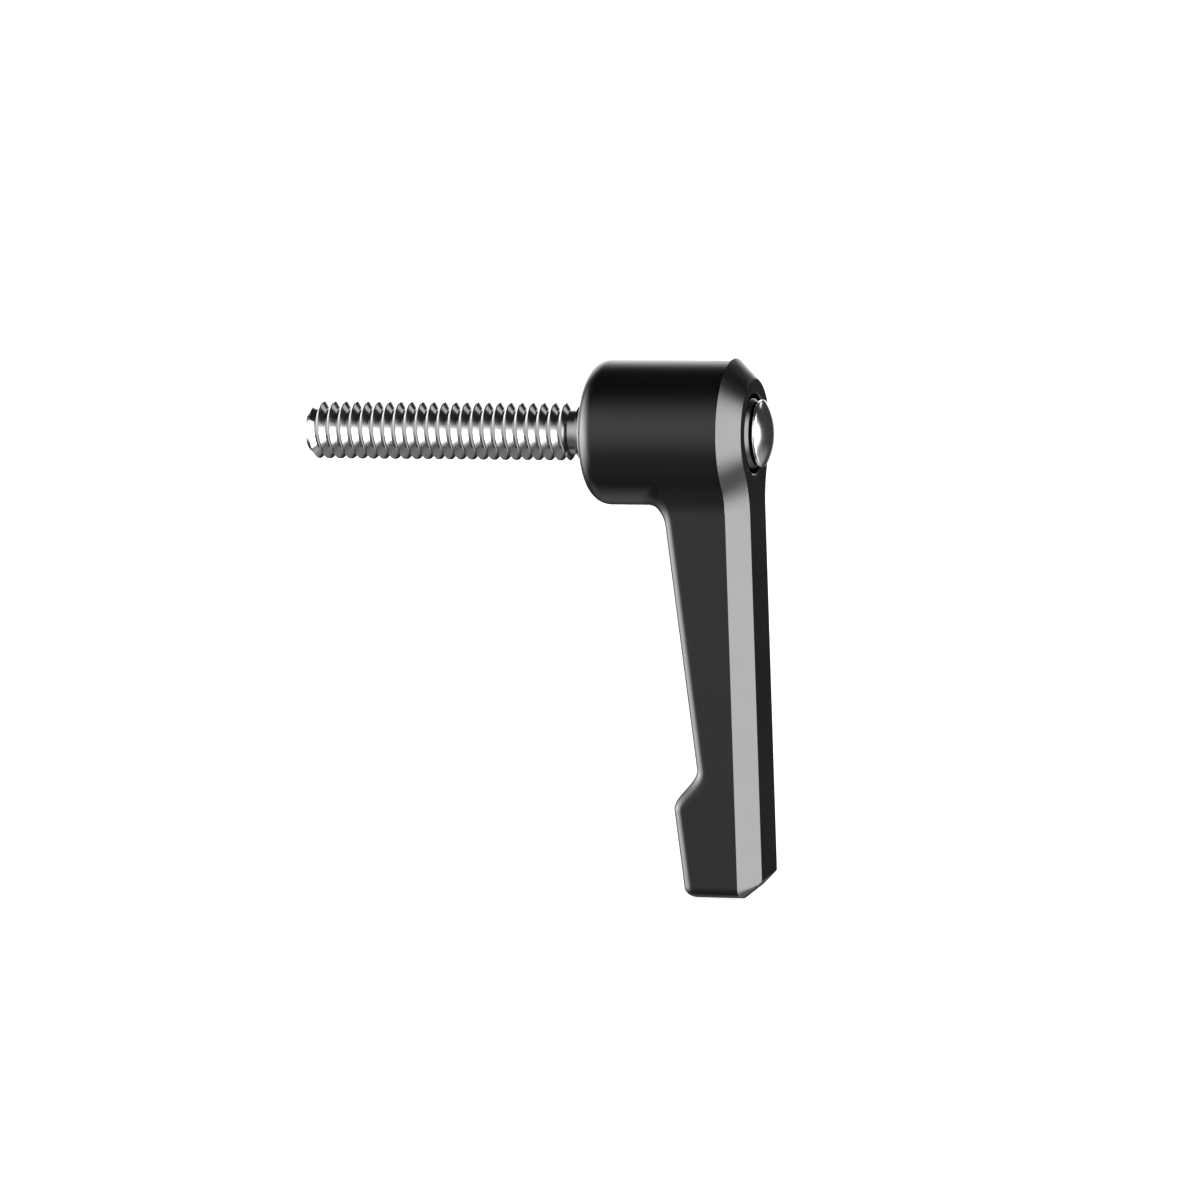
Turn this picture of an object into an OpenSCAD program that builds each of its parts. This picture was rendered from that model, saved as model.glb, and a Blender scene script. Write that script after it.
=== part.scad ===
// Adjustable clamping handle: a one-piece lever on a toothed insert with a threaded stud,
// a push button at the back and a spring that holds the lever on the teeth.
// Stud axis along X, stud towards -X, button towards +X, lever hanging towards -Z.
// The origin is on the stud axis at the inner end of the full thread.

/* [Lever] */
// Outside diameter of the hub barrel, mm
hub_diameter = 15.8; // [15:0.1:20]
// Hub length from its front face to the flat rear face, mm
hub_length = 18.6; // [18:0.2:24]
// Rim around the rear of the hub, extra radius over the barrel, mm
rim_height = 0.25; // [0.1:0.05:0.5]
// Stud axis to the lower end of the lever, mm
lever_length = 51; // [46:0.5:90]
// Width of the arm, mm
arm_width = 10.7; // [9.5:0.1:12]
// Depth of the arm, front to rear, measured at the stud axis, mm
arm_depth = 10.26; // [9.6:0.02:11]
// How much the depth shrinks over each mm towards the tip
arm_taper = 0.0988; // [0.06:0.0002:0.11]
// Height of the finger bump over the arm's front, mm
bump_height = 3.17; // [1.5:0.01:4]
// Flat-topped length of the bump, up from the tip, mm
bump_length = 10; // [8:0.2:12]
// 45 degree chamfer round the whole rear outline, mm
rear_chamfer = 2.2; // [1.2:0.1:2.6]
// Radius of the arm's front edges, mm
front_edge_radius = 0.8; // [0.4:0.1:1.2]
// Radius between the hub's barrel and its front face, mm
nose_radius = 2.25; // [1:0.05:2.5]
// Hollow radius where the hub runs into the arm's sides, mm
blend_radius = 6.5; // [4:0.1:8]

/* [Stud] */
// Outside diameter of the thread, mm
thread_diameter = 6.3; // [5.5:0.05:6.6]
// Distance from one thread crest to the next, mm
thread_pitch = 1.27; // [1:0.01:1.5]
// Full thread with the point, mm
thread_length = 29.7; // [12:0.1:60]
// Length of the relief neck behind the thread, mm
neck_length = 1; // [0.6:0.1:2]
// Plain shank between the neck and the hub's front face, mm
shank_length = 1.5; // [0.8:0.1:3]

/* [Ratchet] */
// Teeth around the insert
tooth_count = 24; // [18:2:30]
// Radius over the insert's teeth, mm
tooth_tip_radius = 5; // [4.6:0.1:5.3]
// Height of a tooth, mm
tooth_height = 0.7; // [0.5:0.05:0.8]
// Length over which lever and insert teeth are in mesh, mm
mesh_length = 3; // [2:0.1:3.2]
// Gap between the two sets of teeth, mm
tooth_clearance = 0.1; // [0.06:0.01:0.16]
// How far the lever lifts off the teeth, mm
lift = 3.6; // [3.4:0.05:3.8]

/* [Button and spring] */
// Diameter of the push button, mm
button_diameter = 7.6; // [7:0.1:8]
// How far the button stands out of the rear face, mm
button_height = 1.25; // [0.9:0.05:2]
// Gap round the button in the rear recess, mm
recess_gap = 0.55; // [0.3:0.05:0.7]
// Diameter of the button's shank, mm
button_shank = 4; // [3.4:0.1:4.4]
// Spring wire diameter, mm
wire_diameter = 0.5; // [0.4:0.05:0.5]
// Turns of the spring
spring_turns = 4.5; // [3.5:0.5:4.5]

/* [Hidden] */
$fn = 96;
run_gap = 0.08;
press_gap = 0.01;
end_gap = 0.01;
seat_proud = 0.2;
insert_collar = 1.2;
insert_length = 8;
web = 2;
hub_r = hub_diameter / 2;
rim_r = hub_r + rim_height;
thread_r = thread_diameter / 2;
point = 0.9;
flank_angle = 30;
thread_depth = 0.52 * thread_pitch;
crest_flat = thread_pitch / 8;
groove_top = (thread_pitch - crest_flat) / 2;
groove_foot = groove_top - thread_depth * tan(flank_angle);
groove_count = floor((thread_length - point + thread_depth - 0.05) / thread_pitch);
neck_r = thread_r - thread_depth - 0.03;
neck_slope = 0.2;
shank_step = 0.17;
shank_r = thread_r - shank_step;
hub_front = neck_length + shank_length;
hub_rear = hub_front + hub_length;
rim_x = hub_rear - rear_chamfer;
rim_land = 0.08;
rim_step = 0.05;
seat_x = hub_front - seat_proud;
web_front = seat_x + insert_length;
web_rear = web_front + web;
mesh_start = web_front - mesh_length;
root_grip = 4.2;
root_end = seat_x + root_grip;
button_grip = 3;
button_end = web_front - button_grip;
button_r = button_diameter / 2;
button_depth = 2.5;
button_foot = hub_rear - button_depth;
flange_height = 0.35;
flange_x = hub_rear + flange_height;
flange_bevel = 0.12;
groove_depth = 0.35;
groove_r = button_r - groove_depth;
cap_bevel = 0.42;
cap_x = hub_rear + button_height;
cap_land = 0.03;
cap_foot = cap_x - cap_bevel - cap_land;
recess_r = button_r + recess_gap;
tooth_root_radius = tooth_tip_radius - tooth_height;
collar_r = tooth_tip_radius + 0.05;
relief_r = tooth_tip_radius + tooth_clearance + 0.1;
wire_r = wire_diameter / 2;
coil_r = button_shank / 2 + 0.45 + wire_r;
half_w = arm_width / 2;
tip_corner = 1.4;
front_corner = 1.9;
root_z = -hub_r - 1.3;
root_flare = 0.238;
blend_dive = 0.15;
dive_r = hub_r - blend_dive;
blend_z = -sqrt(pow(dive_r + blend_radius, 2) - pow(half_w + blend_radius, 2));
bump_top_z = -lever_length + bump_length;
bump_run = 1.45;
bump_foot_z = bump_top_z + bump_run * bump_height;
corner_z = -lever_length + front_corner;
loft_top = -hub_r * 0.45;
chamfer_steps = 4;
edge_steps = 5;

// Half the width of the lever's outline at height z, taken d inside the outline
function outline_y(z, d) =
    z < -lever_length + tip_corner && d < tip_corner ?
        half_w - tip_corner + sqrt(max(0, pow(tip_corner - d, 2) - pow(z + lever_length - tip_corner, 2)))
    : z <= blend_z ?
        half_w - d
    : z <= blend_z * (dive_r - d) / (dive_r + blend_radius) ?
        half_w + blend_radius - sqrt(pow(blend_radius + d, 2) - pow(z - blend_z, 2))
    :
        sqrt(pow(dive_r - d, 2) - z * z);

// Smooth step from 0 to 1
function ease(t) = t <= 0 ? 0 : t >= 1 ? 1 : t * t * (3 - 2 * t);

// Depth of the arm from the rear face to its front at height z
function depth_at(z) =
    arm_depth + arm_taper * z
    + bump_height * ease((bump_foot_z - z) / (bump_foot_z - bump_top_z))
    + (z > root_z ? root_flare * pow(z - root_z, 2) : 0)
    - (z < corner_z ? front_corner - sqrt(max(0, pow(front_corner, 2) - pow(corner_z - z, 2))) : 0);

// One side of the arm's cross-section at height z: rear chamfer first, then the rounded front edge
function rear_side(z) =
    let (reach = min(rear_chamfer, max(z + lever_length, 0.15)))
    [for (k = [chamfer_steps:-1:0])
        let (d = reach * k / chamfer_steps)
        [rim_x + d, outline_y(z, d) - (z < -lever_length + tip_corner ? 0.03 * d : 0)]];
function front_side(z) =
    let (x = hub_rear - depth_at(z), y = outline_y(z, 0), e = front_edge_radius)
    [for (k = [0:edge_steps])
        [x + e - e * sin(90 * k / edge_steps), y - e + e * cos(90 * k / edge_steps)]];
function half_section(z) = concat(rear_side(z), front_side(z));
function arm_section(z) =
    let (h = half_section(z), n = len(h))
    concat([for (p = h) [p[0], p[1], z]], [for (k = [n - 1:-1:0]) [h[k][0], -h[k][1], z]]);

// Evenly spread heights from a to b, the last one left out
function heights(a, b, n) = [for (k = [0:n - 1]) a + (b - a) * k / n];

// Heights of the arm's cross-sections, closer together where the shape curves
arm_heights = concat(
    heights(loft_top, blend_z, 8),
    heights(blend_z, root_z, 3),
    heights(root_z, bump_foot_z, 4),
    heights(bump_foot_z, bump_top_z, 14),
    heights(bump_top_z, -lever_length + rear_chamfer, 3),
    heights(-lever_length + rear_chamfer, -lever_length + 0.5, 7),
    heights(-lever_length + 0.5, -lever_length, 5),
    [-lever_length]);

// Solid through a stack of closed sections with the same number of points
module loft(sections) {
    n = len(sections[0]);
    last = len(sections) - 1;
    polyhedron(
        points = [for (s = sections) for (p = s) p],
        faces = concat(
            [[for (k = [n - 1:-1:0]) k]],
            [for (i = [0:last - 1]) for (k = [0:n - 1])
                [i * n + k, i * n + (k + 1) % n, (i + 1) * n + (k + 1) % n, (i + 1) * n + k]],
            [[for (k = [0:n - 1]) last * n + k]]));
}

// Turned shape round the stud axis from [radius, x] points
module turned(profile) {
    rotate([0, 90, 0]) rotate_extrude() polygon(profile);
}

// Straight round hole or bar along the stud axis
module bar(r, from, to) {
    translate([from, 0, 0]) rotate([0, 90, 0]) cylinder(r = r, h = to - from);
}

// Cutter that bevels the mouth of a hole of radius r at x, side 1 for a mouth that faces +X
module countersink(r, x, side) {
    bevel = 0.25;
    over = 1;
    turned([[0, x - side * bevel],
            [r, x - side * bevel],
            [r + bevel + over, x + side * over],
            [0, x + side * over]]);
}

// Toothed ring section, spread outwards by gap
module tooth_shape(gap) {
    pitch = 360 / tooth_count;
    polygon([for (k = [0:tooth_count - 1]) for (s = [[-0.1, 1], [0.1, 1], [0.4, 0], [0.6, 0]])
        let (r = tooth_root_radius + tooth_height * s[1] + gap, a = pitch * (k + s[0]))
        [r * cos(a), r * sin(a)]]);
}

// Toothed bar along the stud axis
module toothed_bar(gap, from, to) {
    translate([from, 0, 0]) rotate([0, 90, 0]) linear_extrude(height = to - from) tooth_shape(gap);
}

// Outside of the hub: rounded nose, barrel, rim and chamfer
module hub_body() {
    turned(concat(
        [[0, hub_front]],
        [for (k = [0:8]) [hub_r - nose_radius * (1 - sin(90 * k / 8)),
                          hub_front + nose_radius * (1 - cos(90 * k / 8))]],
        [[hub_r, rim_x - rim_land - rim_step],
         [rim_r, rim_x - rim_land],
         [rim_r, rim_x],
         [rim_r - rear_chamfer, hub_rear],
         [0, hub_rear]]));
}

// One-piece handle: hub with its stepped bore, and the arm with the finger bump
module lever() {
    color([0.05, 0.05, 0.055])
    difference() {
        union() {
            hub_body();
            loft([for (z = arm_heights) arm_section(z)]);
        }
        bar(relief_r, hub_front - 1, mesh_start);
        countersink(relief_r, hub_front, -1);
        toothed_bar(tooth_clearance, mesh_start - 0.5, web_front);
        bar(button_shank / 2 + run_gap, web_front - 0.5, web_rear + 0.5);
        bar(recess_r, web_rear, hub_rear + 1);
        countersink(recess_r, hub_rear, 1);
    }
}

// Radius of the thread's crests at x, cut down along the point's chamfer
function crest_r(x) = min(thread_r, thread_r - point + x + thread_length);

// One groove of the thread, the first one next to the neck, with 60 degree flanks and a flat root
function thread_groove(k) =
    let (x = -crest_flat / 2 - thread_pitch * (k + 0.5), root_r = thread_r - thread_depth)
    [[crest_r(x - groove_top), x - groove_top],
     [root_r, x - groove_foot],
     [root_r, x + groove_foot],
     [crest_r(x + groove_top), x + groove_top]];

// Threaded stud: thread form as rings one pitch apart, chamfered point, relief neck and plain root
module threaded_stud() {
    color([0.75, 0.75, 0.77])
    turned(concat(
        [[0, -thread_length],
         [thread_r - point, -thread_length]],
        [for (k = [groove_count - 1:-1:0]) each thread_groove(k)],
        [[thread_r, 0],
         [neck_r, neck_slope],
         [neck_r, neck_length - neck_slope],
         [shank_r, neck_length],
         [shank_r, root_end],
         [0, root_end]]));
}

// Insert that stays with the stud: seat collar and ring of outside teeth
module toothed_insert() {
    color([0.62, 0.6, 0.56])
    difference() {
        union() {
            turned([[0, seat_x],
                    [collar_r - 0.3, seat_x],
                    [collar_r, seat_x + 0.3],
                    [collar_r, seat_x + insert_collar],
                    [0, seat_x + insert_collar]]);
            toothed_bar(0, seat_x + insert_collar - 0.3, web_front);
        }
        bar(shank_r + press_gap, seat_x - 1, root_end);
        bar(button_shank / 2 + press_gap, button_end, web_front + 1);
    }
}

// Push button: grooved and bevelled head on a shank that screws into the insert
module push_button() {
    color([0.8, 0.8, 0.82])
    turned([[0, button_end],
            [button_shank / 2, button_end],
            [button_shank / 2, button_foot],
            [button_r, button_foot],
            [button_r, flange_x - flange_bevel],
            [button_r - flange_bevel, flange_x],
            [groove_r, flange_x],
            [groove_r, cap_foot],
            [button_r, cap_foot],
            [button_r, cap_x - cap_bevel],
            [button_r - cap_bevel, cap_x],
            [0, cap_x]]);
}

// Helical spring between the web of the hub and the foot of the button
module spring() {
    from = web_rear + wire_r + end_gap;
    to = button_foot - wire_r - end_gap;
    steps = round(spring_turns * 24);
    lead = (to - from) / (2 * PI * coil_r * spring_turns);
    tilt = atan(lead);
    color([0.55, 0.56, 0.58])
    loft([for (i = [0:steps])
        let (a = 360 * spring_turns * i / steps, x = from + (to - from) * i / steps)
        [for (k = [0:7])
            let (w = wire_r * cos(45 * k), v = wire_r * sin(45 * k))
            [x + v * cos(tilt),
             (coil_r + w) * cos(a) + v * sin(tilt) * sin(a),
             (coil_r + w) * sin(a) - v * sin(tilt) * cos(a)]]]);
}

lever();
threaded_stud();
toothed_insert();
push_button();
spring();
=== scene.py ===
"""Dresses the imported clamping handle.

A satin black lever sits on a bright threaded stud, with a turned push button at its back. All sizes in the
classes are millimetres in the part's own frame: the stud points along -X, the button along +X and the lever
hangs along -Z.
"""

import logging
import math
from dataclasses import dataclass
from enum import Enum
from typing import Callable

import bmesh
import bpy
import numpy as np
from mathutils import Matrix, Vector


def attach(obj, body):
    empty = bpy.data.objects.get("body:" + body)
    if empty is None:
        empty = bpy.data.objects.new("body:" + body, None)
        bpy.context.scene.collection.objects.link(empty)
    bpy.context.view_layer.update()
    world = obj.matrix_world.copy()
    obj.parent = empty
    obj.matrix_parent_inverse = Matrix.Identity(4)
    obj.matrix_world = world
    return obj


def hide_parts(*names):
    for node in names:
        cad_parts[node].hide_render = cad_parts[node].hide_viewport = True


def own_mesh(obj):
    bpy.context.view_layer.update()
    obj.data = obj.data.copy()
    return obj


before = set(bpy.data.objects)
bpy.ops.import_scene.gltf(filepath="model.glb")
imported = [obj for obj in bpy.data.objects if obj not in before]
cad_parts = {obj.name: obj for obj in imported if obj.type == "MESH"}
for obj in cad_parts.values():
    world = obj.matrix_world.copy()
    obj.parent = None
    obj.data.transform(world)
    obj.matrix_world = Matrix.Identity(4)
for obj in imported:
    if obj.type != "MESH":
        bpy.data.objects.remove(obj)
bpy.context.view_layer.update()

log = logging.getLogger("clamping_handle")
MM = 0.001
Points = np.ndarray
Field = Callable[[Points], np.ndarray]
FacePick = Callable[[float, float], bool]
Piece = bpy.types.Object
Material = bpy.types.Material
NodeTree = bpy.types.NodeTree
Socket = bpy.types.NodeSocket


class Body(Enum):
    """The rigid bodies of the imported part."""

    STUD = "stud_assembly"
    SPRING = "spring"
    LEVER = "lever"


class Slot(Enum):
    """Names of material slots for the new pieces' finishes."""

    BLACK = "anodised_black"
    STUD = "stud_steel"
    BUTTON = "button_steel"
    SPRING = "spring_steel"


# Mesh making


def mesh_object(name: str, verts: Points, faces: list, material: Material) -> Piece:
    """Makes a smooth-shaded mesh object from points in millimetres.

    Args:
        name: Name of the object and its mesh.
        verts: Points in the part's frame, in millimetres.
        faces: Vertex numbers of each face.
        material: Finish of the whole piece.

    Returns:
        The new object, linked to the scene.
    """
    mesh = bpy.data.meshes.new(name)
    mesh.from_pydata((np.asarray(verts, float) * MM).tolist(), [], faces)
    mesh.validate()
    mesh.shade_smooth()
    mesh.materials.append(material)
    obj = bpy.data.objects.new(name, mesh)
    bpy.context.scene.collection.objects.link(obj)
    return obj


def turn_faces_out(obj: Piece) -> None:
    """Points every face of the mesh outwards."""
    edit = bmesh.new()
    edit.from_mesh(obj.data)
    bmesh.ops.recalc_face_normals(edit, faces=edit.faces)
    edit.to_mesh(obj.data)
    edit.free()


def keep_creases(obj: Piece, degrees: float) -> None:
    """Marks edges sharper than the angle as creases, so smooth shading stops there."""
    obj.data.set_sharp_from_angle(angle=math.radians(degrees))


def fix(piece: Piece, body: Body) -> None:
    """Makes a piece move with a body."""
    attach(piece, body.value)


def line_faces(obj: Piece, lining: Material, pick: FacePick) -> None:
    """Gives some faces of a piece a second finish.

    Args:
        obj: The piece.
        lining: The second finish.
        pick: Tells from a face's x and radius, in millimetres, whether it takes the second finish.
    """
    obj.data.materials.append(lining)
    for face in obj.data.polygons:
        x, y, z = face.center / MM
        face.material_index = int(pick(x, math.hypot(y, z)))


def ring_faces(rings: int, around: int) -> list[tuple[int, int, int, int]]:
    """Faces between rings of points that follow one another.

    Args:
        rings: Number of rings.
        around: Points in each ring.

    Returns:
        The four point numbers of each face.
    """
    faces = []
    for i in range(rings - 1):
        for k in range(around):
            n = (k + 1) % around
            faces.append((i * around + k, i * around + n, (i + 1) * around + n, (i + 1) * around + k))
    return faces


def lathe(profile: list[tuple[float, float]], segments: int) -> tuple[Points, list]:
    """Turns a profile round the stud axis.

    Args:
        profile: Points (x, radius) from one end to the other; both ends are closed with a flat disc.
        segments: Steps in a full turn.

    Returns:
        The points and faces of a closed solid.
    """
    turn = np.linspace(0, 2 * np.pi, segments, endpoint=False)
    rows = [np.stack([np.full(segments, x), r * np.cos(turn), r * np.sin(turn)], 1) for x, r in profile]
    faces = ring_faces(len(profile), segments)
    faces.append(tuple(range(segments - 1, -1, -1)))
    faces.append(tuple((len(profile) - 1) * segments + k for k in range(segments)))
    return np.concatenate(rows), faces


def rounded(corners: list[tuple[float, float, float]], steps: int = 5) -> list[tuple[float, float]]:
    """Rounds the corners of a lathe profile.

    Args:
        corners: Points (x, radius, corner radius) along the profile.
        steps: Points in each rounded corner.

    Returns:
        The profile (x, radius) with an arc in place of each corner that has a radius.
    """
    out = []
    for i, (x, r, size) in enumerate(corners):
        if size <= 0 or i in (0, len(corners) - 1):
            out.append((x, r))
            continue
        here = Vector((x, r))
        back = (Vector(corners[i - 1][:2]) - here).normalized()
        ahead = (Vector(corners[i + 1][:2]) - here).normalized()
        half = back.angle(ahead) / 2
        run = size / math.tan(half)
        centre = here + (back + ahead).normalized() * (size / math.sin(half))
        a, b = here + back * run - centre, here + ahead * run - centre
        for k in range(steps + 1):
            spot = centre + a.slerp(b, k / steps) * size
            out.append((spot.x, spot.y))
    return out


@dataclass
class SurfaceNet:
    """Meshes a solid given by a distance field, with its creases kept sharp.

    Attributes:
        solid: Distance field in millimetres, negative inside.
        axes: Grid positions along x, y and z, closer together where the shape is fine.
    """

    solid: Field
    axes: tuple[np.ndarray, np.ndarray, np.ndarray]

    def slope(self, at: Points) -> Points:
        """Unit normals of the field at the given points."""
        step = 0.01
        grad = np.stack([self.solid(at + step * e) - self.solid(at - step * e) for e in np.eye(3)], 1)
        return grad / np.maximum(np.linalg.norm(grad, axis=1, keepdims=True), 1e-9)

    def crossing(self, a: Points, b: Points) -> Points:
        """Points where the surface cuts the edges from a (inside or out) to b (the other side)."""
        lo, hi = a.copy(), b.copy()
        side = self.solid(a) < 0
        for _ in range(12):
            mid = (lo + hi) / 2
            same = (self.solid(mid) < 0) == side
            lo[same], hi[~same] = mid[same], mid[~same]
        return (lo + hi) / 2

    def mesh(self) -> tuple[Points, np.ndarray]:
        """Finds the surface.

        Returns:
            Points in millimetres and the four point numbers of each face.
        """
        grid = np.stack(np.meshgrid(*self.axes, indexing="ij"), -1)
        shape = grid.shape[:3]
        inside = (self.solid(grid.reshape(-1, 3)) < 0).reshape(shape)
        ends, quads, flips = [], [], []
        for axis in range(3):
            a = np.take(inside, range(shape[axis] - 1), axis)
            b = np.take(inside, range(1, shape[axis]), axis)
            spots = np.argwhere(a != b)
            u, v = [(1, 2), (2, 0), (0, 1)][axis]
            ring = np.repeat(spots[:, None, :], 4, 1)
            for n, (du, dv) in enumerate(((-1, -1), (0, -1), (0, 0), (-1, 0))):
                ring[:, n, u] += du
                ring[:, n, v] += dv
            start = grid[tuple(spots.T)]
            stop = start.copy()
            stop[:, axis] = self.axes[axis][spots[:, axis] + 1]
            ends.append(self.crossing(start, stop))
            quads.append(np.ravel_multi_index(tuple(np.moveaxis(ring, -1, 0)), shape))
            flips.append(~inside[tuple(spots.T)])
        cut, quad, flip = np.concatenate(ends), np.concatenate(quads), np.concatenate(flips)
        cells, number = np.unique(quad.ravel(), return_inverse=True)
        number = number.reshape(quad.shape)
        quad = np.where(flip[:, None], number[:, ::-1], number)
        corner = np.unravel_index(cells, shape)
        low = np.stack([axis[at] for axis, at in zip(self.axes, corner)], 1)
        high = np.stack([axis[at + 1] for axis, at in zip(self.axes, corner)], 1)
        return self.place(cut, number, low, high), quad

    def place(self, cut: Points, number: np.ndarray, low: Points, high: Points) -> Points:
        """Puts one point in each cell where the surface's tangent planes meet.

        Args:
            cut: Surface points on the grid edges.
            number: The four cells round each of them.
            low: Lowest corner of each cell.
            high: Highest corner of each cell.

        Returns:
            One point for each cell.
        """
        normal, count = self.slope(cut), len(low)
        who = number.ravel()
        spot, slope = np.repeat(cut, 4, 0), np.repeat(normal, 4, 0)
        share = np.bincount(who, minlength=count)[:, None]
        middle = np.stack([np.bincount(who, spot[:, k], count) for k in range(3)], 1) / share
        pull = slope * np.sum(slope * (spot - middle[who]), 1, keepdims=True)
        right = np.stack([np.bincount(who, pull[:, k], count) for k in range(3)], 1)
        left = np.zeros((count, 3, 3))
        for i in range(3):
            for j in range(3):
                left[:, i, j] = np.bincount(who, slope[:, i] * slope[:, j], count)
        hold = 0.03  # keeps the points of flat cells near their middle
        left += hold * np.eye(3)
        move = np.linalg.solve(left, right[:, :, None])[:, :, 0]
        return np.clip(middle + move, low, high)


def spread(start: float, *runs: tuple[float, float]) -> np.ndarray:
    """Grid positions from a start through runs of (end, longest step)."""
    spots = [np.array([start])]
    for end, step in runs:
        count = math.ceil((end - spots[-1][-1]) / step)
        spots.append(np.linspace(spots[-1][-1], end, count + 1)[1:])
    return np.concatenate(spots)


def meet_round(a: np.ndarray, b: np.ndarray, radius: float) -> np.ndarray:
    """Intersection of two fields with the edge between them rounded to a radius."""
    edge = np.hypot(np.maximum(radius + a, 0), np.maximum(radius + b, 0))
    return np.minimum(-radius, np.maximum(a, b)) + edge


def join_round(a: np.ndarray, b: np.ndarray, radius: float) -> np.ndarray:
    """Union of two fields with the inner corner between them filled to a radius."""
    corner = np.hypot(np.maximum(radius - a, 0), np.maximum(radius - b, 0))
    return np.maximum(radius, np.minimum(a, b)) - corner


def ease(t: np.ndarray) -> np.ndarray:
    """Smooth step from 0 to 1."""
    t = np.clip(t, 0, 1)
    return t * t * (3 - 2 * t)


# Finishes


class Graph:
    """A node tree with short ways to add and link nodes."""

    def __init__(self, tree: NodeTree) -> None:
        """Keeps the tree that nodes are added to."""
        self.tree = tree

    def add(self, kind: str, **values: object) -> bpy.types.Node:
        """Adds a node.

        Args:
            kind: Node type without its prefix, such as TexNoise.
            values: Node properties by name, or input values by socket name with spaces as underscores.

        Returns:
            The new node.
        """
        node = self.tree.nodes.new("ShaderNode" + kind)
        for key, value in values.items():
            if hasattr(node, key):
                setattr(node, key, value)
            else:
                node.inputs[key.replace("_", " ")].default_value = value
        return node

    def link(self, source: Socket, target: Socket) -> None:
        """Joins an output to an input."""
        self.tree.links.new(source, target)

    def math(self, operation: str, a: object, b: object = 0.0) -> Socket:
        """Adds a Math node.

        Args:
            operation: Blender's name of the operation.
            a: First value, a number or an output socket.
            b: Second value, a number or an output socket.

        Returns:
            The result's socket.
        """
        node = self.add("Math", operation=operation)
        for k, value in enumerate((a, b)):
            if isinstance(value, Socket):
                self.link(value, node.inputs[k])
            else:
                node.inputs[k].default_value = value
        return node.outputs[0]

    def dot(self, vector: Socket, axis: tuple[float, float, float]) -> Socket:
        """Length of a vector along an axis."""
        node = self.add("VectorMath", operation="DOT_PRODUCT")
        self.link(vector, node.inputs[0])
        node.inputs[1].default_value = axis
        return node.outputs["Value"]

    def remap(self, value: Socket, span: tuple[float, float], to: tuple[float, float],
              smooth: bool = False) -> Socket:
        """Maps a value from one range to another, held at its ends.

        Args:
            value: What to map.
            span: Range it comes from.
            to: Range it goes to.
            smooth: Whether the change eases in and out.

        Returns:
            The mapped value.
        """
        node = self.add("MapRange", clamp=True, interpolation_type="SMOOTHSTEP" if smooth else "LINEAR")
        for k, number in enumerate((*span, *to)):
            node.inputs[k + 1].default_value = number
        self.link(value, node.inputs[0])
        return node.outputs[0]


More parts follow.
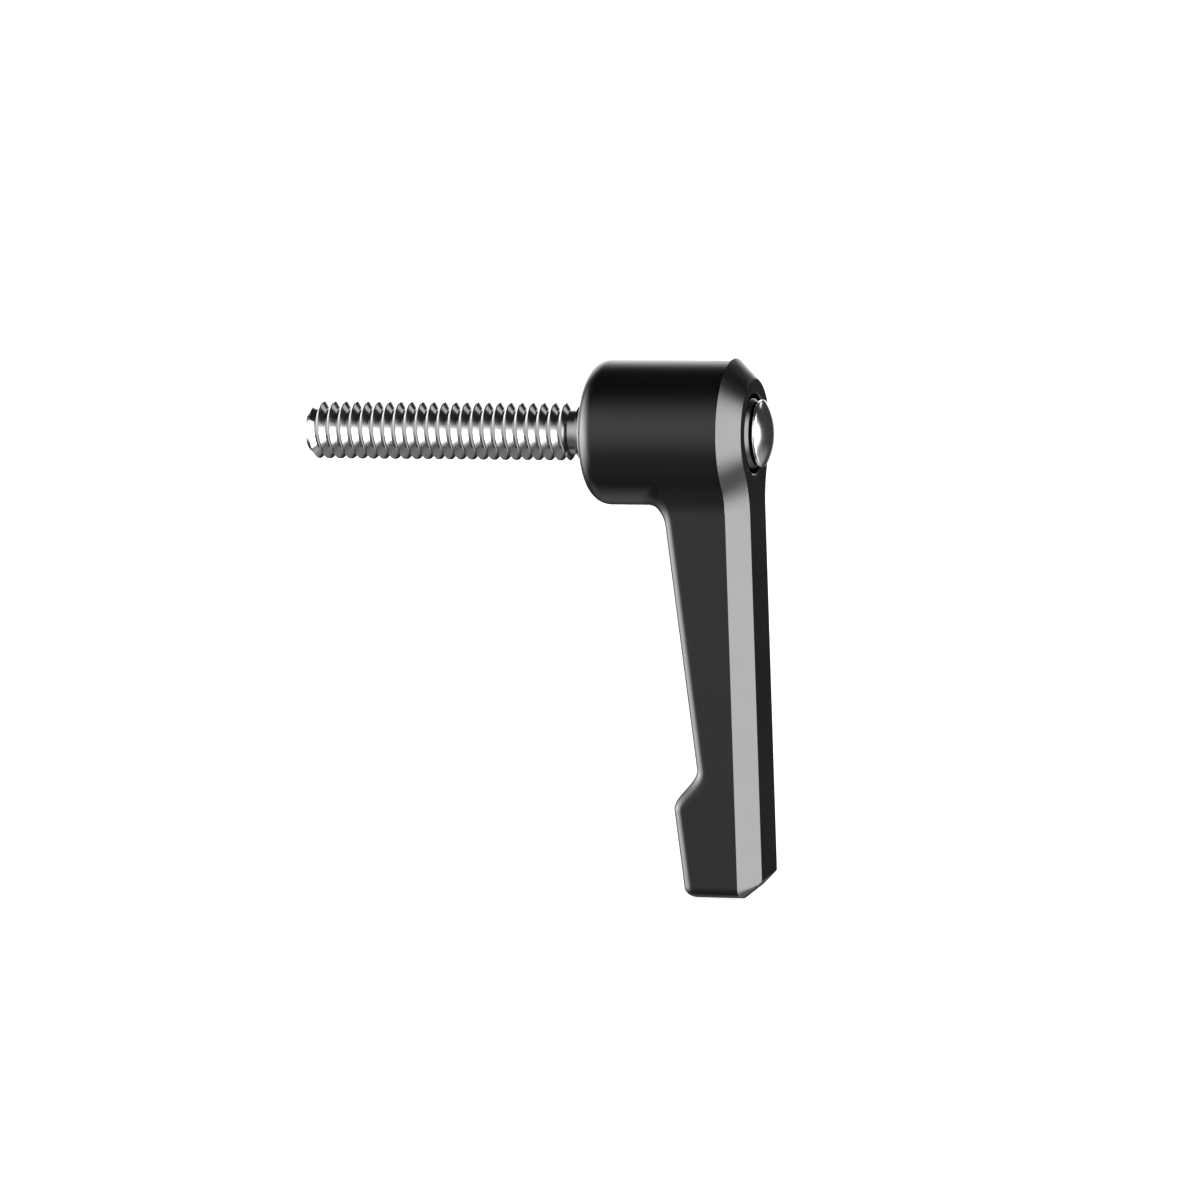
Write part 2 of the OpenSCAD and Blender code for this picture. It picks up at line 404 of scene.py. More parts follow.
class SharedEffects:
    """Node groups that several finishes use, each built once."""

    def __init__(self) -> None:
        """Builds every group."""
        self.grain = self._grain()
        self.wear = self._wear()
        self.turning = self._turning()
        self.smudge = self._smudge()

    @staticmethod
    def _new(name: str, inputs: dict[str, float], outputs: list[str]) -> tuple[NodeTree, Graph]:
        """Makes an empty group with float sockets.

        Args:
            name: Name of the group.
            inputs: Input names with their first values.
            outputs: Output names.

        Returns:
            The group and a graph to fill it.
        """
        tree = bpy.data.node_groups.new(name, "ShaderNodeTree")
        for key, value in inputs.items():
            socket = tree.interface.new_socket(key, in_out="INPUT", socket_type="NodeSocketFloat")
            socket.default_value = value
        for key in outputs:
            tree.interface.new_socket(key, in_out="OUTPUT", socket_type="NodeSocketFloat")
        return tree, Graph(tree)

    @staticmethod
    def _ends(graph: Graph) -> tuple[bpy.types.NodeOutputs, bpy.types.NodeInputs]:
        """Adds a group's input and output nodes and returns their sockets."""
        inside = graph.tree.nodes.new("NodeGroupInput")
        outside = graph.tree.nodes.new("NodeGroupOutput")
        return inside.outputs, outside.inputs

    def _grain(self) -> NodeTree:
        """Fine blasted grain: two sizes of noise added into one height."""
        tree, g = self._new("Blasted grain", {"Scale": 4000.0, "Coarse share": 0.4}, ["Height"])
        given, out = self._ends(g)
        place = g.add("TexCoord").outputs["Object"]
        fine, coarse = g.add("TexNoise", Detail=2.0), g.add("TexNoise", Detail=1.0)
        for node, factor in ((fine, 1.0), (coarse, 0.3)):
            g.link(place, node.inputs["Vector"])
            g.link(g.math("MULTIPLY", given["Scale"], factor), node.inputs["Scale"])
        rough = g.math("MULTIPLY", coarse.outputs["Fac"], given["Coarse share"])
        g.link(g.math("ADD", fine.outputs["Fac"], rough), out["Height"])
        return tree

    def _wear(self) -> NodeTree:
        """Rubbed edges: a mask of the outer edges, broken up by noise."""
        tree, g = self._new("Rubbed edges", {"Reach": 0.06, "Break up": 600.0}, ["Mask"])
        given, out = self._ends(g)
        edge = g.math("SUBTRACT", g.add("NewGeometry").outputs["Pointiness"], 0.5)
        edge = g.math("DIVIDE", edge, given["Reach"])
        noise = g.add("TexNoise", Detail=4.0, Roughness=0.65)
        g.link(g.add("TexCoord").outputs["Object"], noise.inputs["Vector"])
        g.link(given["Break up"], noise.inputs["Scale"])
        patchy = g.remap(noise.outputs["Fac"], (0.35, 0.7), (0.0, 1.0))
        g.link(g.remap(g.math("MULTIPLY", edge, patchy), (0.1, 1.0), (0.0, 1.0)), out["Mask"])
        return tree

    def _turning(self) -> NodeTree:
        """Tool marks of a turned surface: fine rings on faces and along the length of bars."""
        tree, g = self._new("Turning marks", {"Pitch": 0.0001}, ["Height", "Tone"])
        given, out = self._ends(g)
        split = g.add("SeparateXYZ")
        g.link(g.add("TexCoord").outputs["Object"], split.inputs[0])
        squares = [g.math("POWER", split.outputs[k], 2.0) for k in (1, 2)]
        radius = g.math("SQRT", g.math("ADD", *squares))
        along = g.math("DIVIDE", g.math("ADD", radius, split.outputs[0]), given["Pitch"])
        g.link(g.math("SINE", g.math("MULTIPLY", along, 2 * math.pi)), out["Height"])
        noise = g.add("TexNoise", noise_dimensions="1D", Scale=0.35, Detail=3.0)
        g.link(along, noise.inputs["W"])
        g.link(noise.outputs["Fac"], out["Tone"])
        return tree

    def _smudge(self) -> NodeTree:
        """Slow patches over the surface, as handling leaves them."""
        tree, g = self._new("Handling patches", {"Scale": 120.0}, ["Tone"])
        given, out = self._ends(g)
        noise = g.add("TexNoise", Detail=3.0, Roughness=0.55, Distortion=0.4)
        g.link(g.add("TexCoord").outputs["Object"], noise.inputs["Vector"])
        g.link(given["Scale"], noise.inputs["Scale"])
        g.link(g.remap(noise.outputs["Fac"], (0.3, 0.7), (0.0, 1.0)), out["Tone"])
        return tree


class Surface:
    """A material with one Principled shader, filled in by a finish."""

    def __init__(self, name: str) -> None:
        """Starts a material with its shader linked to the output."""
        self.material = bpy.data.materials.new(name)
        self.material.use_nodes = True
        self.graph = Graph(self.material.node_tree)
        self.shader = self.material.node_tree.nodes["Principled BSDF"]

    def group(self, tree: NodeTree, **values: float) -> bpy.types.NodeOutputs:
        """Places a shared effect with this finish's own values and returns its outputs."""
        node = self.graph.add("Group")
        node.node_tree = tree
        for key, value in values.items():
            node.inputs[key.replace("_", " ")].default_value = value
        return node.outputs

    def tone(self, mask: Socket, low: tuple, high: tuple) -> None:
        """Mixes the base colour between two colours by a mask."""
        mix = self.graph.add("Mix", data_type="RGBA")
        first, second = (socket for socket in mix.inputs if socket.type == "RGBA")
        first.default_value, second.default_value = (*low, 1), (*high, 1)
        self.graph.link(mask, mix.inputs["Factor"])
        mixed = next(socket for socket in mix.outputs if socket.type == "RGBA")
        self.graph.link(mixed, self.shader.inputs["Base Color"])

    def bump(self, height: Socket, strength: float, distance: float) -> None:
        """Raises the surface by a height, in metres at full strength."""
        node = self.graph.add("Bump", Strength=strength, Distance=distance)
        self.graph.link(height, node.inputs["Height"])
        self.graph.link(node.outputs["Normal"], self.shader.inputs["Normal"])

    def gloss(self, mask: Socket, low: float, high: float) -> None:
        """Spreads the roughness between two values by a mask."""
        self.graph.link(self.graph.remap(mask, (0.0, 1.0), (low, high)), self.shader.inputs["Roughness"])

    def set(self, **values: object) -> None:
        """Sets constant values on the shader's own sockets."""
        for key, value in values.items():
            self.shader.inputs[key.replace("_", " ")].default_value = value


@dataclass(frozen=True)
class BlackAnodised:
    """Satin black coat of the lever, slightly rubbed on its edges."""

    colour: tuple = (0.0005, 0.0005, 0.0006)
    rubbed: tuple = (0.012, 0.012, 0.013)
    roughness: tuple = (0.24, 0.3)

    def build(self, effects: SharedEffects) -> Material:
        """Makes the material."""
        s = Surface("Black anodised")
        s.set(Metallic=0.0, IOR=1.5)
        s.tone(s.group(effects.wear, Reach=0.09, Break_up=700.0)["Mask"], self.colour, self.rubbed)
        s.gloss(s.group(effects.smudge, Scale=90.0)["Tone"], *self.roughness)
        s.bump(s.group(effects.grain, Scale=5200.0, Coarse_share=0.5)["Height"], 0.12, 0.00002)
        return s.material


@dataclass(frozen=True)
class PaintedRecessShade:
    """Painted shade: black without any gloss in the rear recess, on the button's side there and in its
    groove.
    """

    colour: tuple = (0.0005, 0.0005, 0.0006)
    dusty: tuple = (0.004, 0.004, 0.004)

    def build(self, effects: SharedEffects) -> Material:
        """Makes the material."""
        s = Surface("Recess painted shade")
        # Painted shade: no gloss at all, so these faces stay black as if in shade
        s.set(Metallic=0.0, Specular_IOR_Level=0.0)
        s.tone(s.group(effects.smudge, Scale=200.0)["Tone"], self.colour, self.dusty)
        s.gloss(s.group(effects.grain, Scale=5200.0, Coarse_share=0.5)["Height"], 0.8, 0.95)
        return s.material


@dataclass(frozen=True)
class MachinedSteel:
    """Steel with tool marks, for the stud, insert, button and spring.

    Attributes:
        name: Name of the material.
        dark: Colour of its darker rings.
        light: Colour of its lighter rings.
        roughness: Lowest and highest roughness.
        pitch: Distance between tool marks, in metres.
        marks: Strength of the marks' relief.
    """

    name: str
    dark: tuple
    light: tuple
    roughness: tuple
    pitch: float
    marks: float

    def build(self, effects: SharedEffects) -> Material:
        """Makes the material."""
        s = Surface(self.name)
        s.set(Metallic=1.0)
        turned = s.group(effects.turning, Pitch=self.pitch)
        s.tone(turned["Tone"], self.dark, self.light)
        s.gloss(s.group(effects.smudge, Scale=260.0)["Tone"], *self.roughness)
        s.bump(turned["Height"], self.marks, 0.00001)
        return s.material


STUD_STEEL = MachinedSteel(
    name="Bright stud steel", dark=(0.31, 0.31, 0.31), light=(0.38, 0.38, 0.38),
    roughness=(0.12, 0.17), pitch=0.00006, marks=0.03)
INSERT_STEEL = MachinedSteel(
    name="Plain insert steel", dark=(0.12, 0.12, 0.12), light=(0.18, 0.18, 0.18),
    roughness=(0.4, 0.5), pitch=0.0002, marks=0.3)
BUTTON_STEEL = MachinedSteel(
    name="Turned button steel", dark=(0.7, 0.7, 0.71), light=(0.86, 0.86, 0.87),
    roughness=(0.13, 0.18), pitch=0.00009, marks=0.05)
SPRING_WIRE = MachinedSteel(
    name="Drawn spring wire", dark=(0.4, 0.4, 0.42), light=(0.58, 0.58, 0.6),
    roughness=(0.22, 0.34), pitch=0.0004, marks=0.1)


@dataclass(frozen=True)
class StudioPaper:
    """Plain pale floor."""

    colour: tuple = (0.5, 0.5, 0.5)
    glow: float = 0.85

    def build(self) -> Material:
        """Makes the material."""
        s = Surface("Studio paper")
        s.set(Base_Color=(*self.colour, 1), Roughness=0.9)
        s.set(Emission_Color=(1, 1, 1, 1), Emission_Strength=self.glow)
        return s.material


# The handle's own pieces


@dataclass
class Lever:
    """The one-piece black hub and arm, with the ring of inner teeth.

    Attributes:
        hub_front: Where the hub's nose begins along the stud axis.
        hub_rear: Where its rear face lies.
        hub_r: Radius of the hub.
        rim: How far the chamfer's lip stands over the barrel.
        length: From the stud axis to the arm's lower end.
        half_width: Half of the arm's width.
        depth: From the rear face to the arm's front face at the stud axis.
        taper: How much depth the arm loses for each millimetre down.
        bump_height: How far the finger bump stands out.
        bump_top: Height at which the bump is full.
        bump_foot: Height at which it begins.
        chamfer: Size of the rear chamfer.
        front_edge: Radius of the arm's front edges.
        front_corner: Radius of the corner between front face and lower end.
        tip_corner: Radius of the lower end's corners, seen from the rear.
        nose: Radius of the hub's front edge.
        blend: Radius where hub and arm meet, seen from the rear.
        root: Radius of the fillet under the hub.
        web: Where the wall between the two bores begins and ends.
        mesh_start: Where the inner teeth begin.
        relief_r: Radius of the front bore.
        hole_r: Radius of the hole for the button's shank.
        recess_r: Radius of the rear recess.
        recess_chamfer: Chamfer at the recess's mouth.
        front_chamfer: Chamfer at the front bore's mouth.
        teeth: Number of inner teeth.
        tooth_root: Radius over the tips of the inner teeth.
        tooth_tip: Radius over the spaces between them.
        tooth_seat: How far the ring of teeth reaches into the hub's wall.
    """

    hub_front: float = 2.78
    hub_rear: float = 21.1
    hub_r: float = 7.9
    rim: float = 0.25
    length: float = 51.2
    half_width: float = 5.35
    depth: float = 10.26
    taper: float = 0.0988
    bump_height: float = 3.17
    bump_top: float = -41.0
    bump_foot: float = -36.4
    chamfer: float = 2.2
    front_edge: float = 1.4
    front_corner: float = 1.4
    tip_corner: float = 1.8
    nose: float = 2.2
    blend: float = 6.5
    root: float = 2.6
    web: tuple = (10.3, 12.3)
    mesh_start: float = 7.3
    relief_r: float = 5.2
    hole_r: float = 2.08
    recess_r: float = 4.35
    recess_chamfer: float = 0.2
    front_chamfer: float = 0.3
    teeth: int = 24
    tooth_root: float = 4.4
    tooth_tip: float = 5.1
    tooth_seat: float = 0.15

    def outline(self, y: np.ndarray, z: np.ndarray, hub_r: float) -> np.ndarray:
        """Signed distance to the keyhole outline of hub and arm, seen along the stud.

        Args:
            y: Across the lever.
            z: Along the lever.
            hub_r: Radius of the hub.

        Returns:
            Distance, negative inside.
        """
        y = np.abs(y)
        side = self.half_width + self.blend
        low = -np.sqrt((hub_r + self.blend) ** 2 - side**2)
        across, down = y - (self.half_width - self.tip_corner), -z - (self.length - self.tip_corner)
        arm = np.hypot(np.maximum(across, 0), np.maximum(down, 0))
        arm += np.minimum(np.maximum(across, down), 0) - self.tip_corner
        hollow = self.blend - np.hypot(y - side, z - low)
        return np.where(z * side > low * y, np.hypot(y, z) - hub_r, np.where(z < low, arm, hollow))

    def front(self, z: np.ndarray) -> np.ndarray:
        """Where the arm's front face lies along the stud axis at each height."""
        depth = self.depth + self.taper * z
        depth += self.bump_height * ease((self.bump_foot - z) / (self.bump_foot - self.bump_top))
        return self.hub_rear - depth

    def solid(self, at: Points) -> np.ndarray:
        """Distance field of the whole lever."""
        x, y, z = at.T
        reach = np.hypot(y, z)
        outline = self.outline(y, z, self.hub_r)
        rim = self.outline(y, z, self.hub_r + self.rim)
        hub = meet_round(reach - self.hub_r, self.hub_front - x, self.nose)
        step = 0.01
        slant = (self.front(z + step) - self.front(z - step)) / (2 * step)
        face = (self.front(z) - x) / np.sqrt(1 + slant**2)
        face = meet_round(face, -self.length - z, self.front_corner)
        body = np.minimum(hub, meet_round(outline, join_round(hub, face, self.root), self.front_edge))
        body = np.maximum(body, (x - self.hub_rear + self.chamfer + rim) / math.sqrt(2))
        body = np.maximum(body, x - self.hub_rear)
        rear_cone = (reach - self.recess_r - (x - self.hub_rear + self.recess_chamfer)) / math.sqrt(2)
        front_cone = (reach - self.relief_r - (self.hub_front + self.front_chamfer - x)) / math.sqrt(2)
        holes = np.minimum.reduce([
            np.maximum(reach - self.relief_r, x - self.web[0]),
            reach - self.hole_r,
            np.maximum(reach - self.recess_r, self.web[1] - x),
            np.maximum(rear_cone, self.hub_rear - 1 - x),
            np.maximum(front_cone, x - self.hub_front - 1)])
        return np.maximum(body, -holes)

    def draw_out_lip(self, verts: Points) -> None:
        """Draws the chamfer's outer edge out to the rim, so that a fine lip stands over the barrel."""
        x, y, z = verts.T
        rim_x, rim_r = self.hub_rear - self.chamfer, self.hub_r + self.rim
        step, near = 0.01, 0.03
        side = self.outline(y, z, self.hub_r)
        over = side - self.outline(y, z, rim_r)
        edge = (np.abs(side) < near) & (np.abs(x - rim_x - over) < near)
        across = self.outline(y + step, z, rim_r) - self.outline(y - step, z, rim_r)
        along = self.outline(y, z + step, rim_r) - self.outline(y, z - step, rim_r)
        out = np.stack([across, along], 1) / (2 * step)
        verts[edge, 0] -= over[edge]
        verts[edge, 1:] += (out * over[:, None])[edge]

    def shell(self, black: Material, recess_shade: Material) -> Piece:
        """Builds the lever's hub and arm in one piece.

        Args:
            black: The lever's finish.
            recess_shade: Painted shade for the rear recess, a black without gloss.

        Returns:
            The new piece.
        """
        rim_x = self.hub_rear - self.chamfer
        # The grid is closer at the nose, the chamfer's lip and the rear face
        nose, barrel, lip = (5.2, 0.2), (rim_x - 0.3, 0.28), (rim_x + 0.4, 0.07)
        bevel, rear = (20.8, 0.25), (21.4, 0.12)
        across, up = spread(-9.0, (9.0, 0.25)), spread(-51.6, (9.0, 0.25))
        net = SurfaceNet(self.solid, (spread(1.9, nose, barrel, lip, bevel, rear), across, up))
        verts, quads = net.mesh()
        self.draw_out_lip(verts)
        obj = mesh_object("lever_body", verts, quads.tolist(), black)
        keep_creases(obj, 35)
        # Painted shade: the recess's walls and floor take the black without gloss
        floor_x, wall_r = self.web[1] - 0.1, self.recess_r + 0.04
        line_faces(obj, recess_shade, lambda x, r: x > floor_x and r < wall_r)
        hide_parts("lever")
        return obj

    def tooth_ring(self, black: Material) -> Piece:
        """Builds the ring of inner teeth that the insert sits in."""
        tip, root, start, end = self.tooth_tip, self.tooth_root, self.mesh_start, self.web[0]
        marks = ((-0.1, tip), (0.1, tip), (0.4, root), (0.6, root))
        spots = [(r, 2 * math.pi * (k + s) / self.teeth) for k in range(self.teeth) for s, r in marks]
        n = len(spots)
        loops = []
        for x, outer in ((start, True), (start, False), (end, False), (end, True)):
            for r, a in spots:
                radius = self.relief_r + self.tooth_seat if outer else r
                loops.append((x, radius * math.sin(a), -radius * math.cos(a)))
        faces = [(i * n + k, i * n + (k + 1) % n, (i + 1) % 4 * n + (k + 1) % n, (i + 1) % 4 * n + k)
                 for i in range(4) for k in range(n)]
        obj = mesh_object("lever_inner_teeth", np.array(loops), faces, black)
        turn_faces_out(obj)
        keep_creases(obj, 20)
        return obj

    def build(self, black: Material, recess_shade: Material) -> list[Piece]:
        """Builds the lever and hangs it on its body.

        Args:
            black: The lever's finish.
            recess_shade: Painted shade for the rear recess, a black without gloss.

        Returns:
            The new pieces.
        """
        pieces = [self.shell(black, recess_shade), self.tooth_ring(black)]
        for piece in pieces:
            fix(piece, Body.LEVER)
        return pieces


@dataclass
class Stud:
    """The threaded stud with its chamfered point, relief neck and plain shank.

    Attributes:
        length: Reach of the thread in front of the frame's origin.
        crest_r: Radius over the thread's crests.
        pitch: Distance from crest to crest.
        depth: Depth of the thread.
        crest_half: Half of the flat on a crest.
        crest_x: Place of one crest along the stud.
        point: Chamfer at the stud's end.
        run_out: Length over which the last turn fades into the neck.
        neck_r: Radius of the relief neck.
        neck_fillet: Radius at the neck's foot.
        shank_r: Radius of the plain shank.
        neck: Where the neck begins and ends.
        shank: Where the shank begins and ends.
        overlap: How far the neck reaches into the thread.
        segments: Steps in a full turn.
    """

    length: float = 29.7
    crest_r: float = 3.15
    pitch: float = 1.27
    depth: float = 0.76
    crest_half: float = 0.07
    crest_x: float = -0.59
    point: float = 0.9
    run_out: float = 0.2
    neck_r: float = 2.46
    neck_fillet: float = 0.05
    shank_r: float = 2.98
    neck: tuple = (0.45, 1.3)
    shank: tuple = (1.38, 6.5)
    overlap: float = 0.15
    segments: int = 96

    def form(self) -> list[tuple[float, float]]:
        """Thread form over one pitch, in millimetres: places along the stud with how deep each lies."""
        foot, half = self.crest_half + self.depth / math.sqrt(3), self.pitch / 2
        side = [(0.0, 0.0), (self.crest_half, 0.0), (foot, self.depth), (half, self.depth)]
        return side + [(self.pitch - x, d) for x, d in side[-2:0:-1]]

    def thread(self) -> tuple[Points, list]:
        """Winds the thread's profile round the stud, right-handed.

        Returns:
            Points and faces of the wound surface, open at its two ends.
        """
        form = self.form()
        per, n = len(form), self.segments
        before = math.ceil(self.length / self.pitch) + 1
        turns = before + 4
        first = self.crest_x - self.pitch * before
        verts = []
        for i in range(turns * per + 1):
            ahead, below = form[i % per]
            base, r = first + self.pitch * (i // per) + ahead, self.crest_r - below
            for k in range(n):
                a = 2 * math.pi * k / n
                verts.append((base + self.pitch * k / n, r * math.cos(a), r * math.sin(a)))
        rows = turns * per
        faces = []
        for i in range(rows - per):
            for k in range(n):
                if k < n - 1:
                    faces.append((i * n + k, i * n + k + 1, (i + 1) * n + k + 1, (i + 1) * n + k))
                else:
                    faces.append((i * n + k, (i + per) * n, (i + per + 1) * n, (i + 1) * n + k))
        return np.array(verts), faces

    def cut(self, obj: Piece) -> None:
        """Cuts the wound thread to length, closes it and turns down its two ends."""
        edit = bmesh.new()
        edit.from_mesh(obj.data)
        for x, side in ((-self.length, -1), (self.neck[0], 1)):
            everything = edit.verts[:] + edit.edges[:] + edit.faces[:]
            bmesh.ops.bisect_plane(edit, geom=everything, plane_co=(x * MM, 0, 0), plane_no=(side, 0, 0),
                                   clear_outer=True)
        loose = [v for v in edit.verts if not v.link_faces]
        bmesh.ops.delete(edit, geom=loose, context="VERTS")
        rim = [e for e in edit.edges if e.is_boundary]
        bmesh.ops.holes_fill(edit, edges=rim, sides=0)
        steep, shoulder = (self.crest_r - self.neck_r) / self.run_out, self.neck[0] - self.run_out
        for v in edit.verts:
            x, r = v.co.x / MM, math.hypot(v.co.y, v.co.z) / MM
            top = self.crest_r - max(self.point - x - self.length, (x - shoulder) * steep, 0)
            if r > top:
                v.co.y *= top / r
                v.co.z *= top / r
        bmesh.ops.recalc_face_normals(edit, faces=edit.faces)
        edit.to_mesh(obj.data)
        edit.free()

    def build(self, steel: Material) -> list[Piece]:
        """Builds the stud and fixes it to its body.

        Args:
            steel: The stud's finish.

        Returns:
            The new pieces.
        """
        screw = mesh_object("stud_thread", *self.thread(), steel)
        self.cut(screw)
        keep_creases(screw, 38)
        profile = rounded([
            (self.neck[0] - self.overlap, self.neck_r, 0), (self.neck[1], self.neck_r, self.neck_fillet),
            (self.shank[0], self.shank_r, 0), (self.shank[1], self.shank_r, 0)])
        shank = mesh_object("stud_shank", *lathe(profile, self.segments), steel)
        turn_faces_out(shank)
        keep_creases(shank, 35)
        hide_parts("threaded_stud")
        for piece in (screw, shank):
            fix(piece, Body.STUD)
        return [screw, shank]


@dataclass
class PushButton:
    """The turned push button: a bright domed cap on a blackened, grooved body with a shank.

    Attributes:
        foot: Where the body begins along the stud axis, at the spring's end.
        shoulder: Where its side ends.
        groove: Where the groove under the cap begins.
        r: Radius of the body.
        groove_r: Radius of the groove.
        cap_under: Where the cap begins.
        cap_side: Where the cap's side ends.
        cap_r: Radius of the cap.
        cap_bevel: Length and depth of the bevel round the cap.
        dome_r: Radius of the dome.
        edge: Radius on the body's edges.
        shank_r: Radius of the shank.
        shank_end: Where the shank ends inside the hub.
        segments: Steps in a full turn.
    """

    foot: float = 18.6
    shoulder: float = 20.9
    groove: float = 21.3
    r: float = 3.8
    groove_r: float = 3.4
    cap_under: float = 21.75
    cap_side: float = 22.0
    cap_r: float = 3.65
    cap_bevel: tuple = (0.1, 0.12)
    dome_r: float = 7.2
    edge: float = 0.15
    shank_r: float = 2.0
    shank_end: float = 7.3
    segments: int = 128

    def cap(self) -> list[tuple[float, float]]:
        """Profile of the cap: a short side, a rounded edge and a shallow dome."""
        rise, inset = self.cap_bevel
        edge, top, steps = self.cap_r - inset, self.cap_side + rise, 14
        lean = math.asin(edge / self.dome_r)
        middle = top - self.dome_r * math.cos(lean)
        turns = [lean * k / steps for k in range(steps - 1, 0, -1)]
        dome = [(middle + self.dome_r * math.cos(a), self.dome_r * math.sin(a)) for a in turns]
        rim = rounded([(self.cap_under, 0.5, 0), (self.cap_under, self.cap_r, 0.02),
                       (self.cap_side, self.cap_r, 0.1), (top, edge, 0)])
        return rim + dome

    def build(self, steel: Material, black: Material, recess_shade: Material) -> list[Piece]:
        """Builds the button and fixes it to its body.

        Args:
            steel: The cap's finish.
            black: The finish of the body below the cap.
            recess_shade: Painted shade for the body's side in the recess and its groove, a black without
                gloss.

        Returns:
            The new pieces.
        """
        body = rounded([
            (self.shank_end, self.shank_r, 0), (self.foot, self.shank_r, 0.1), (self.foot, self.r, self.edge),
            (self.shoulder, self.r, self.edge), (self.groove, self.groove_r, self.edge),
            (self.cap_under + 0.05, self.groove_r, 0)])
        pieces = [mesh_object("push_button_cap", *lathe(self.cap(), self.segments), steel),
                  mesh_object("push_button_body", *lathe(body, self.segments), black)]
        # Painted shade: the body's side down in the recess and the groove's floor take the black without
        # gloss
        side_end, groove_top = self.shoulder - 0.2, self.groove_r + 0.1
        line_faces(pieces[1], recess_shade, lambda x, r: x < side_end or r < groove_top)
        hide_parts("push_button")
        for piece in pieces:
            turn_faces_out(piece)
            keep_creases(piece, 30)
            fix(piece, Body.STUD)
        return pieces


@dataclass
class Spring:
    """The compression spring between the hub's web and the button's foot.

    Attributes:
        start: Where it rests on the web.
        end: Where it rests on the button's foot.
        gap: Clearance at both ends.
        coil_r: Radius of the coil at the middle of the wire.
        wire: Diameter of the wire.
        turns: Number of turns.
        per_turn: Steps in a turn.
        sides: Sides of the wire's section.
        lift: How far the lever lifts; not used.
    """

    start: float = 12.3
    end: float = 18.6
    gap: float = 0.01
    coil_r: float = 2.7
    wire: float = 0.5
    turns: float = 4.5
    per_turn: int = 40
    sides: int = 14
    lift: float = 3.6

    def build(self, steel: Material) -> list[Piece]:
        """Builds the spring and fixes it to its body.

        Args:
            steel: The wire's finish.

        Returns:
            The new pieces.
        """
        steps, sides, half = int(self.turns * self.per_turn), self.sides, self.wire / 2
        low, high = self.start + half + self.gap, self.end - half - self.gap
        verts = []
        for i in range(steps + 1):
            t = i / steps
            a = 2 * math.pi * self.turns * t
            x = low + (high - low) * t
            for k in range(sides):
                b = 2 * math.pi * k / sides
                r = self.coil_r + half * math.cos(b)
                verts.append((x + half * math.sin(b), r * math.cos(a), r * math.sin(a)))
        faces = ring_faces(steps + 1, sides)
        faces += [tuple(range(sides - 1, -1, -1)), tuple(steps * sides + k for k in range(sides))]
        obj = mesh_object("spring_coil", np.array(verts), faces, steel)
        turn_faces_out(obj)
        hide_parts("spring")
        fix(obj, Body.SPRING)
        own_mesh(obj)
        return [obj]


@dataclass
class Insert:
    """The toothed insert, shown as modelled, with its own finish."""

    node: str = "toothed_insert"

    def build(self, steel: Material) -> list[Piece]:
        """Gives the insert its finish.

        Args:
            steel: The insert's finish.

        Returns:
            The dressed node.
        """
        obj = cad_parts[self.node]
        if not obj.material_slots:
            obj.data.materials.append(steel)
        for slot in obj.material_slots:
            slot.material = steel
        return [obj]


@dataclass(frozen=True)
class SoftBox:
    """A soft patch of light round the handle, as wide as a studio panel.

    Attributes:
        azimuth: Degrees from the front towards the button's side.
        elevation: Degrees above the level of the handle.
        half: Half of its width and half of its height, in degrees.
        soft: How many degrees its edge takes to fade, across and up.
        radiance: How bright its face looks.
    """

    azimuth: float
    elevation: float
    half: tuple[float, float]
    soft: tuple[float, float]
    radiance: float


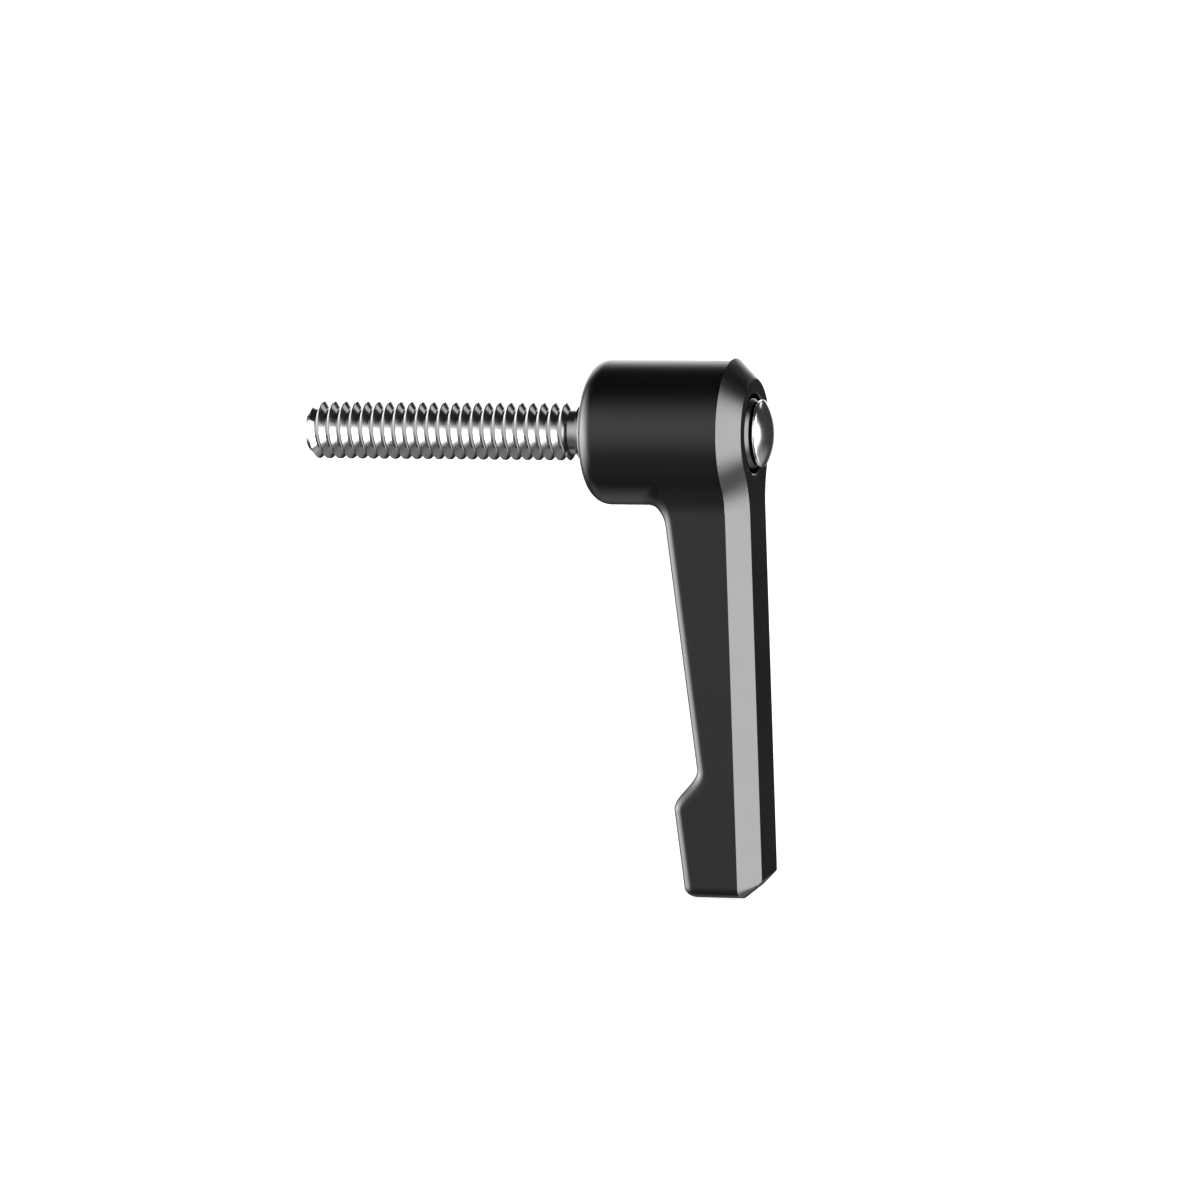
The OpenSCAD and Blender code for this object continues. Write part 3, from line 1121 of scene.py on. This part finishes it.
@dataclass
class Studio:
    """The pale floor, soft light from all round and the camera at the photograph's place.

    Attributes:
        floor_z: Height of the floor.
        floor_reach: How far the floor goes each way.
        aim: Point that the camera looks at.
        back: Direction from there to the camera.
        up: The camera's own upward direction.
        distance: How far the camera stands from the point.
        focal_pixels: Focal length in pixels of the picture.
        pixels: Width of the picture.
        surround: Radiance between the soft boxes.
        boxes: The soft boxes.
    """

    floor_z: float = -51.35
    floor_reach: float = 6000.0
    aim: tuple = (3.17, -1.16, -18.41)
    back: tuple = (0.2876, -0.9432, 0.1665)
    up: tuple = (-0.0144, 0.1696, 0.9854)
    distance: float = 833.4
    focal_pixels: float = 7614.7
    pixels: int = 1200
    surround: float = 0.035
    boxes: tuple = (
        SoftBox(-83, 0, (27, 19), (30, 46), 11.0),
        SoftBox(74, 2, (27, 33), (4, 24), 11.5),
        SoftBox(108, -3.5, (9, 10), (4, 22), 3.0),
        SoftBox(100, -52, (30, 14), (20, 16), 1.0),
        SoftBox(0, 18, (45, 28), (25, 50), 1.2),
        SoftBox(0, -38, (60, 35), (30, 60), 0.22),
        SoftBox(201, 12, (24, 21), (10, 26), 2.0),
        SoftBox(180, -60, (85, 20), (40, 30), 0.42),
        SoftBox(150, 21, (9, 5), (5, 2), 1.3),
        SoftBox(132, -38, (24, 16), (14, 16), 0.3))

    def floor(self) -> Piece:
        """Lays a wide pale floor under the lever's tip, which the handle's gloss doesn't mirror."""
        reach = self.floor_reach
        corners = ((-reach, -reach), (reach, -reach), (reach, reach), (-reach, reach))
        verts = np.array([(x, y, self.floor_z) for x, y in corners])
        obj = mesh_object("floor", verts, [(0, 1, 2, 3)], StudioPaper().build())
        obj.visible_glossy = False
        obj.visible_shadow = False
        return obj

    def glow(self, graph: Graph, ray: Socket, box: SoftBox) -> Socket:
        """Works out how much light a soft box sends along a direction.

        Args:
            graph: Node tree of the surround.
            ray: The direction looked along.
            box: The soft box.

        Returns:
            The radiance.
        """
        turn = math.radians(box.azimuth)
        ahead, side, rise = (graph.dot(ray, axis) for axis in (
            (math.sin(turn), -math.cos(turn), 0), (math.cos(turn), math.sin(turn), 0), (0, 0, 1)))
        across = graph.math("ABSOLUTE", graph.math("ARCTAN2", side, ahead))
        tilt = graph.math("SUBTRACT", graph.math("ARCSINE", rise), math.radians(box.elevation))
        fades = []
        for angle, half, soft in zip((across, graph.math("ABSOLUTE", tilt)), box.half, box.soft):
            span = (math.radians(half - soft / 2), math.radians(half + soft / 2))
            fades.append(graph.remap(angle, span, (1.0, 0.0), smooth=True))
        return graph.math("MULTIPLY", graph.math("MULTIPLY", *fades), box.radiance)

    def world(self) -> None:
        """Sets the soft boxes in a dim surround."""
        world = bpy.data.worlds.new("surround")
        world.use_nodes = True
        graph = Graph(world.node_tree)
        ray = graph.add("TexCoord").outputs["Generated"]
        total = self.surround
        for box in self.boxes:
            total = graph.math("ADD", self.glow(graph, ray, box), total)
        background = world.node_tree.nodes["Background"]
        background.inputs["Color"].default_value = (1, 1, 1, 1)
        graph.link(total, background.inputs["Strength"])
        bpy.context.scene.world = world

    def camera(self) -> Piece:
        """Stands the camera where the photograph was taken from."""
        data = bpy.data.cameras.new("camera")
        data.sensor_fit, data.sensor_width = "HORIZONTAL", 36.0
        data.lens = self.focal_pixels / self.pixels * data.sensor_width
        data.clip_start, data.clip_end = 0.01, 20.0
        obj = bpy.data.objects.new("camera", data)
        bpy.context.scene.collection.objects.link(obj)
        back = Vector(self.back).normalized()
        side = Vector(self.up).cross(back).normalized()
        turn = Matrix((side, back.cross(side), back)).transposed().to_4x4()
        obj.matrix_world = Matrix.Translation((Vector(self.aim) + back * self.distance) * MM) @ turn
        bpy.context.scene.camera = obj
        return obj

    def build(self) -> None:
        """Sets up the whole studio."""
        self.floor()
        self.world()
        self.camera()
        bpy.context.scene.view_settings.view_transform = "Standard"


def main() -> None:
    """Builds every piece and the studio."""
    logging.basicConfig(level=logging.INFO, format="%(name)s: %(message)s")
    effects = SharedEffects()
    # The second black is painted shade, a black without gloss for the recess and the button's groove
    black, recess_shade = BlackAnodised().build(effects), PaintedRecessShade().build(effects)
    made = []
    made += Lever().build(black, recess_shade)
    made += Stud().build(STUD_STEEL.build(effects))
    made += Insert().build(INSERT_STEEL.build(effects))
    made += PushButton().build(BUTTON_STEEL.build(effects), black, recess_shade)
    made += Spring().build(SPRING_WIRE.build(effects))
    for piece in made:
        piece.visible_glossy = False  # one piece isn't mirrored in another, as in the photograph
        log.info("%s: %d faces", piece.name, len(piece.data.polygons))
    Studio().build()


if __name__ == "__main__":
    main()
